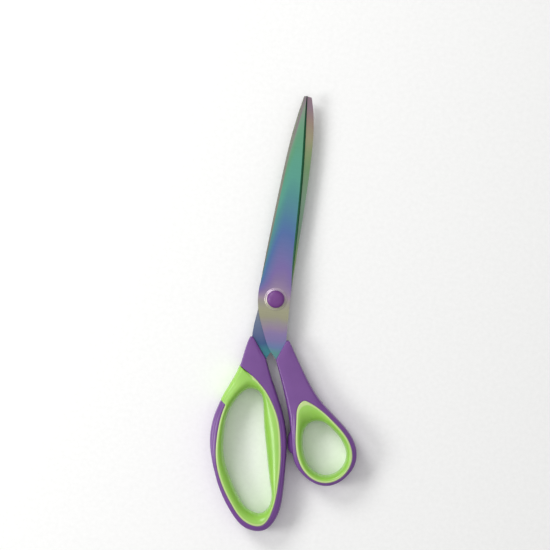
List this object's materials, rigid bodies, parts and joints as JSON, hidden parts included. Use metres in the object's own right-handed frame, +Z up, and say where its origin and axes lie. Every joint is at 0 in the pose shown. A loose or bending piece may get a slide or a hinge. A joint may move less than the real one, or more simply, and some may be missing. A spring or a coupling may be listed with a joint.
{
  "type": "dressmaking shears",
  "caption": "Long straight-bladed shears with rainbow-coated steel blades on a capped pivot screw, a large finger bow and a small thumb bow, both lined with soft grips.",
  "frame": {"origin": "middle of the closed shears' outline, on the surface that they lie on", "axes": "+Y from the pivot towards the blade tips, +X towards the thumb bow, +Z up out of the thumb blade's outer face"},
  "size_m": [0.0866, 0.255, 0.0155],
  "materials": {
    "coated_blade": "satin steel with a rainbow titanium coating",
    "hard_handle": "satin moulded plastic",
    "soft_grip": "soft-touch moulded rubber",
    "cap": "glossy moulded plastic",
    "hardware": "bright steel"
  },
  "bodies": {
    "finger_side": {"finger_blade": "coated_blade", "finger_handle": "hard_handle", "finger_grip": "soft_grip", "pivot_screw": "hardware", "front_washer": "hardware", "front_cap": "cap", "rear_washer": "hardware", "spring_washer": "hardware", "pivot_nut": "hardware", "rear_cap": "cap"},
    "thumb_side": {"thumb_blade": "coated_blade", "thumb_handle": "hard_handle", "thumb_grip": "soft_grip"}
  },
  "joints": [
    {"name": "blade_pivot", "type": "hinge", "parent": "finger_side", "child": "thumb_side", "pos_m": [-0.0181, 0.0077, 0.00775], "axis": [0, 0, 1], "range_deg": [0, 130]}
  ]
}
